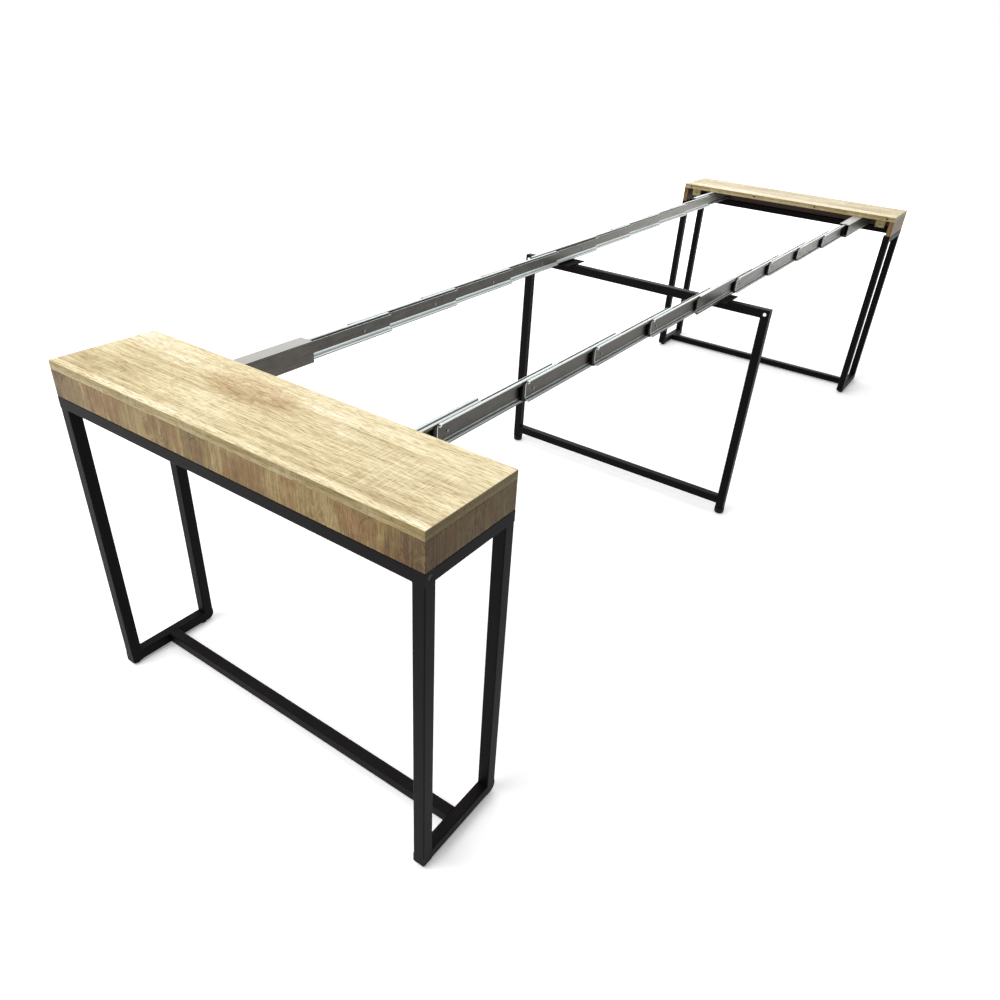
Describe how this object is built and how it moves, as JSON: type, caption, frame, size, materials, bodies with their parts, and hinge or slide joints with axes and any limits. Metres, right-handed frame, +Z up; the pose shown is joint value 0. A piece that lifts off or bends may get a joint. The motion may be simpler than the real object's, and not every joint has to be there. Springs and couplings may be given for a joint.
{
  "type": "extending console dining table",
  "caption": "Console table that extends into a long dining table on nested telescopic steel slides, with a folding centre support frame, shown fully extended without leaves.",
  "frame": {"origin": "centre of the footprint on the floor, with the table fully extended", "axes": "+X from the near console to the far one, +Y to the left across the table, +Z up"},
  "size_m": [3.14, 0.9, 0.75],
  "materials": {
    "laminate": "pale oak laminate, satin",
    "black_steel": "black powder coat, satin",
    "zinc_steel": "zinc-plated rolled steel",
    "bolt_steel": "zinc-plated, bright",
    "yellow_zinc_steel": "yellow zinc",
    "black_plastic": "matt black"
  },
  "bodies": {
    "centre": {"slide_6_left": "zinc_steel", "slide_6_right": "zinc_steel", "centre_top_bar": "black_steel", "centre_bottom_bar": "black_steel", "centre_leg_left": "black_steel", "centre_leg_right": "black_steel", "centre_feet": "black_plastic", "centre_bolts": "bolt_steel", "centre_mount_plates": "black_steel"},
    "slide_5_right": {"slide_5_right": "zinc_steel"},
    "slide_4_right": {"slide_4_right": "zinc_steel"},
    "slide_3_right": {"slide_3_right": "zinc_steel"},
    "slide_2_right": {"slide_2_right": "zinc_steel"},
    "slide_7_right": {"slide_7_right": "zinc_steel"},
    "slide_8_right": {"slide_8_right": "zinc_steel"},
    "slide_9_right": {"slide_9_right": "zinc_steel"},
    "slide_10_right": {"slide_10_right": "zinc_steel"},
    "slide_5_left": {"slide_5_left": "zinc_steel"},
    "slide_4_left": {"slide_4_left": "zinc_steel"},
    "slide_3_left": {"slide_3_left": "zinc_steel"},
    "slide_2_left": {"slide_2_left": "zinc_steel"},
    "slide_7_left": {"slide_7_left": "zinc_steel"},
    "slide_8_left": {"slide_8_left": "zinc_steel"},
    "slide_9_left": {"slide_9_left": "zinc_steel"},
    "slide_10_left": {"slide_10_left": "zinc_steel"},
    "near_console": {"near_top_board": "laminate", "near_outer_apron": "laminate", "near_side_apron_left": "laminate", "near_side_apron_right": "laminate", "near_leg_frame_left": "black_steel", "near_leg_frame_right": "black_steel", "near_top_bar": "black_steel", "near_stretcher": "black_steel", "near_bolts": "bolt_steel", "near_feet": "black_plastic", "near_angle_brackets": "yellow_zinc_steel", "near_slide_cover": "zinc_steel", "near_slide_housing_left": "zinc_steel", "near_slide_housing_right": "zinc_steel"},
    "far_console": {"far_top_board": "laminate", "far_outer_apron": "laminate", "far_side_apron_left": "laminate", "far_side_apron_right": "laminate", "far_leg_frame_left": "black_steel", "far_leg_frame_right": "black_steel", "far_top_bar": "black_steel", "far_stretcher": "black_steel", "far_bolts": "bolt_steel", "far_feet": "black_plastic", "far_angle_brackets": "yellow_zinc_steel", "far_slide_cover": "zinc_steel", "far_slide_housing_left": "zinc_steel", "far_slide_housing_right": "zinc_steel"}
  },
  "joints": [
    {"name": "slide_5_right_travel", "type": "slide", "parent": "centre", "child": "slide_5_right", "axis": [1, 0, 0], "range_m": [0, 0.2688]},
    {"name": "slide_4_right_travel", "type": "slide", "parent": "slide_5_right", "child": "slide_4_right", "axis": [1, 0, 0], "range_m": [0, 0.2688]},
    {"name": "slide_3_right_travel", "type": "slide", "parent": "slide_4_right", "child": "slide_3_right", "axis": [1, 0, 0], "range_m": [0, 0.2688]},
    {"name": "slide_2_right_travel", "type": "slide", "parent": "slide_3_right", "child": "slide_2_right", "axis": [1, 0, 0], "range_m": [0, 0.2688]},
    {"name": "slide_7_right_travel", "type": "slide", "parent": "centre", "child": "slide_7_right", "axis": [-1, 0, 0], "range_m": [0, 0.2688]},
    {"name": "slide_8_right_travel", "type": "slide", "parent": "slide_7_right", "child": "slide_8_right", "axis": [-1, 0, 0], "range_m": [0, 0.2688]},
    {"name": "slide_9_right_travel", "type": "slide", "parent": "slide_8_right", "child": "slide_9_right", "axis": [-1, 0, 0], "range_m": [0, 0.2688]},
    {"name": "slide_10_right_travel", "type": "slide", "parent": "slide_9_right", "child": "slide_10_right", "axis": [-1, 0, 0], "range_m": [0, 0.2688]},
    {"name": "slide_5_left_travel", "type": "slide", "parent": "centre", "child": "slide_5_left", "axis": [1, 0, 0], "range_m": [0, 0.2688]},
    {"name": "slide_4_left_travel", "type": "slide", "parent": "slide_5_left", "child": "slide_4_left", "axis": [1, 0, 0], "range_m": [0, 0.2688]},
    {"name": "slide_3_left_travel", "type": "slide", "parent": "slide_4_left", "child": "slide_3_left", "axis": [1, 0, 0], "range_m": [0, 0.2688]},
    {"name": "slide_2_left_travel", "type": "slide", "parent": "slide_3_left", "child": "slide_2_left", "axis": [1, 0, 0], "range_m": [0, 0.2688]},
    {"name": "slide_7_left_travel", "type": "slide", "parent": "centre", "child": "slide_7_left", "axis": [-1, 0, 0], "range_m": [0, 0.2688]},
    {"name": "slide_8_left_travel", "type": "slide", "parent": "slide_7_left", "child": "slide_8_left", "axis": [-1, 0, 0], "range_m": [0, 0.2688]},
    {"name": "slide_9_left_travel", "type": "slide", "parent": "slide_8_left", "child": "slide_9_left", "axis": [-1, 0, 0], "range_m": [0, 0.2688]},
    {"name": "slide_10_left_travel", "type": "slide", "parent": "slide_9_left", "child": "slide_10_left", "axis": [-1, 0, 0], "range_m": [0, 0.2688]},
    {"name": "near_console_travel", "type": "slide", "parent": "slide_2_right", "child": "near_console", "axis": [1, 0, 0], "range_m": [0, 0.2688]},
    {"name": "far_console_travel", "type": "slide", "parent": "slide_10_right", "child": "far_console", "axis": [-1, 0, 0], "range_m": [0, 0.2688]}
  ],
  "couplings": [
    {"joint": "slide_5_left_travel", "follows": "slide_5_right_travel", "ratio": 1},
    {"joint": "slide_4_left_travel", "follows": "slide_4_right_travel", "ratio": 1},
    {"joint": "slide_3_left_travel", "follows": "slide_3_right_travel", "ratio": 1},
    {"joint": "slide_2_left_travel", "follows": "slide_2_right_travel", "ratio": 1},
    {"joint": "slide_7_left_travel", "follows": "slide_7_right_travel", "ratio": 1},
    {"joint": "slide_8_left_travel", "follows": "slide_8_right_travel", "ratio": 1},
    {"joint": "slide_9_left_travel", "follows": "slide_9_right_travel", "ratio": 1},
    {"joint": "slide_10_left_travel", "follows": "slide_10_right_travel", "ratio": 1}
  ]
}
